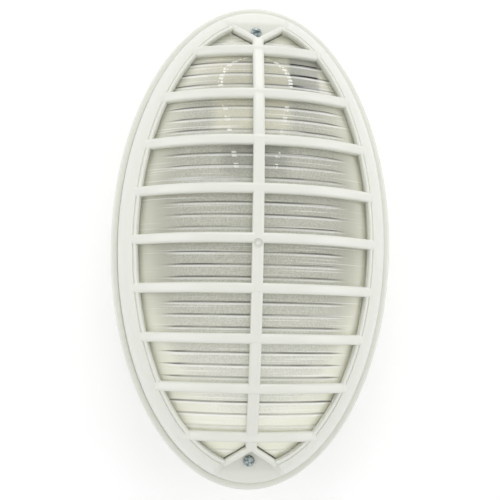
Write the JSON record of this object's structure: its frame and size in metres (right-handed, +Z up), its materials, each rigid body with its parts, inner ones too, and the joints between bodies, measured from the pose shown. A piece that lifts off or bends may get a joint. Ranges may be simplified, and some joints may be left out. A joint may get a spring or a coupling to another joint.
{
  "type": "cage wall light",
  "caption": "Oval bulkhead wall light: a deep tray base and a ribbed clear domed diffuser, guarded by a moulded cage of level bars with one upright bar.",
  "frame": {"origin": "centre of the base's wall face", "axes": "+Z up along the oval's long axis, +Y into the wall, so the light faces -Y; +X to the right in the picture"},
  "size_m": [0.165, 0.09, 0.285],
  "materials": {
    "white_plastic": "glossy off-white moulding",
    "clear_plastic": "clear ribbed plastic, slightly grey",
    "foam_rubber": "closed-cell sealing foam",
    "grommet_rubber": "soft moulded rubber",
    "porcelain": "cream glaze",
    "zinc": "bright zinc plate",
    "brass": "plain brass",
    "nickel": "nickel plate",
    "block_plastic": "milky terminal-block plastic",
    "brown_sleeving": "brown lead sleeving",
    "blue_sleeving": "blue lead sleeving"
  },
  "bodies": {
    "root": {"base": "white_plastic", "gasket": "foam_rubber", "diffuser": "clear_plastic", "cage": "white_plastic", "cage_screw_top": "zinc", "cage_screw_bottom": "zinc", "lampholder_bracket": "zinc", "bracket_screw_left": "zinc", "bracket_screw_right": "zinc", "lampholder_screw_left": "zinc", "lampholder_screw_right": "zinc", "lampholder_body": "porcelain", "screw_shell": "nickel", "centre_contact": "brass", "live_terminal_plate": "brass", "live_terminal_screw": "brass", "neutral_terminal_plate": "brass", "neutral_terminal_screw": "brass", "terminal_block": "block_plastic", "live_sleeve": "brass", "neutral_sleeve": "brass", "clamp_screw_live_upper": "zinc", "clamp_screw_live_lower": "zinc", "clamp_screw_neutral_upper": "zinc", "clamp_screw_neutral_lower": "zinc", "live_lead": "brown_sleeving", "neutral_lead": "blue_sleeving", "cable_grommet": "grommet_rubber"}
  },
  "joints": []
}
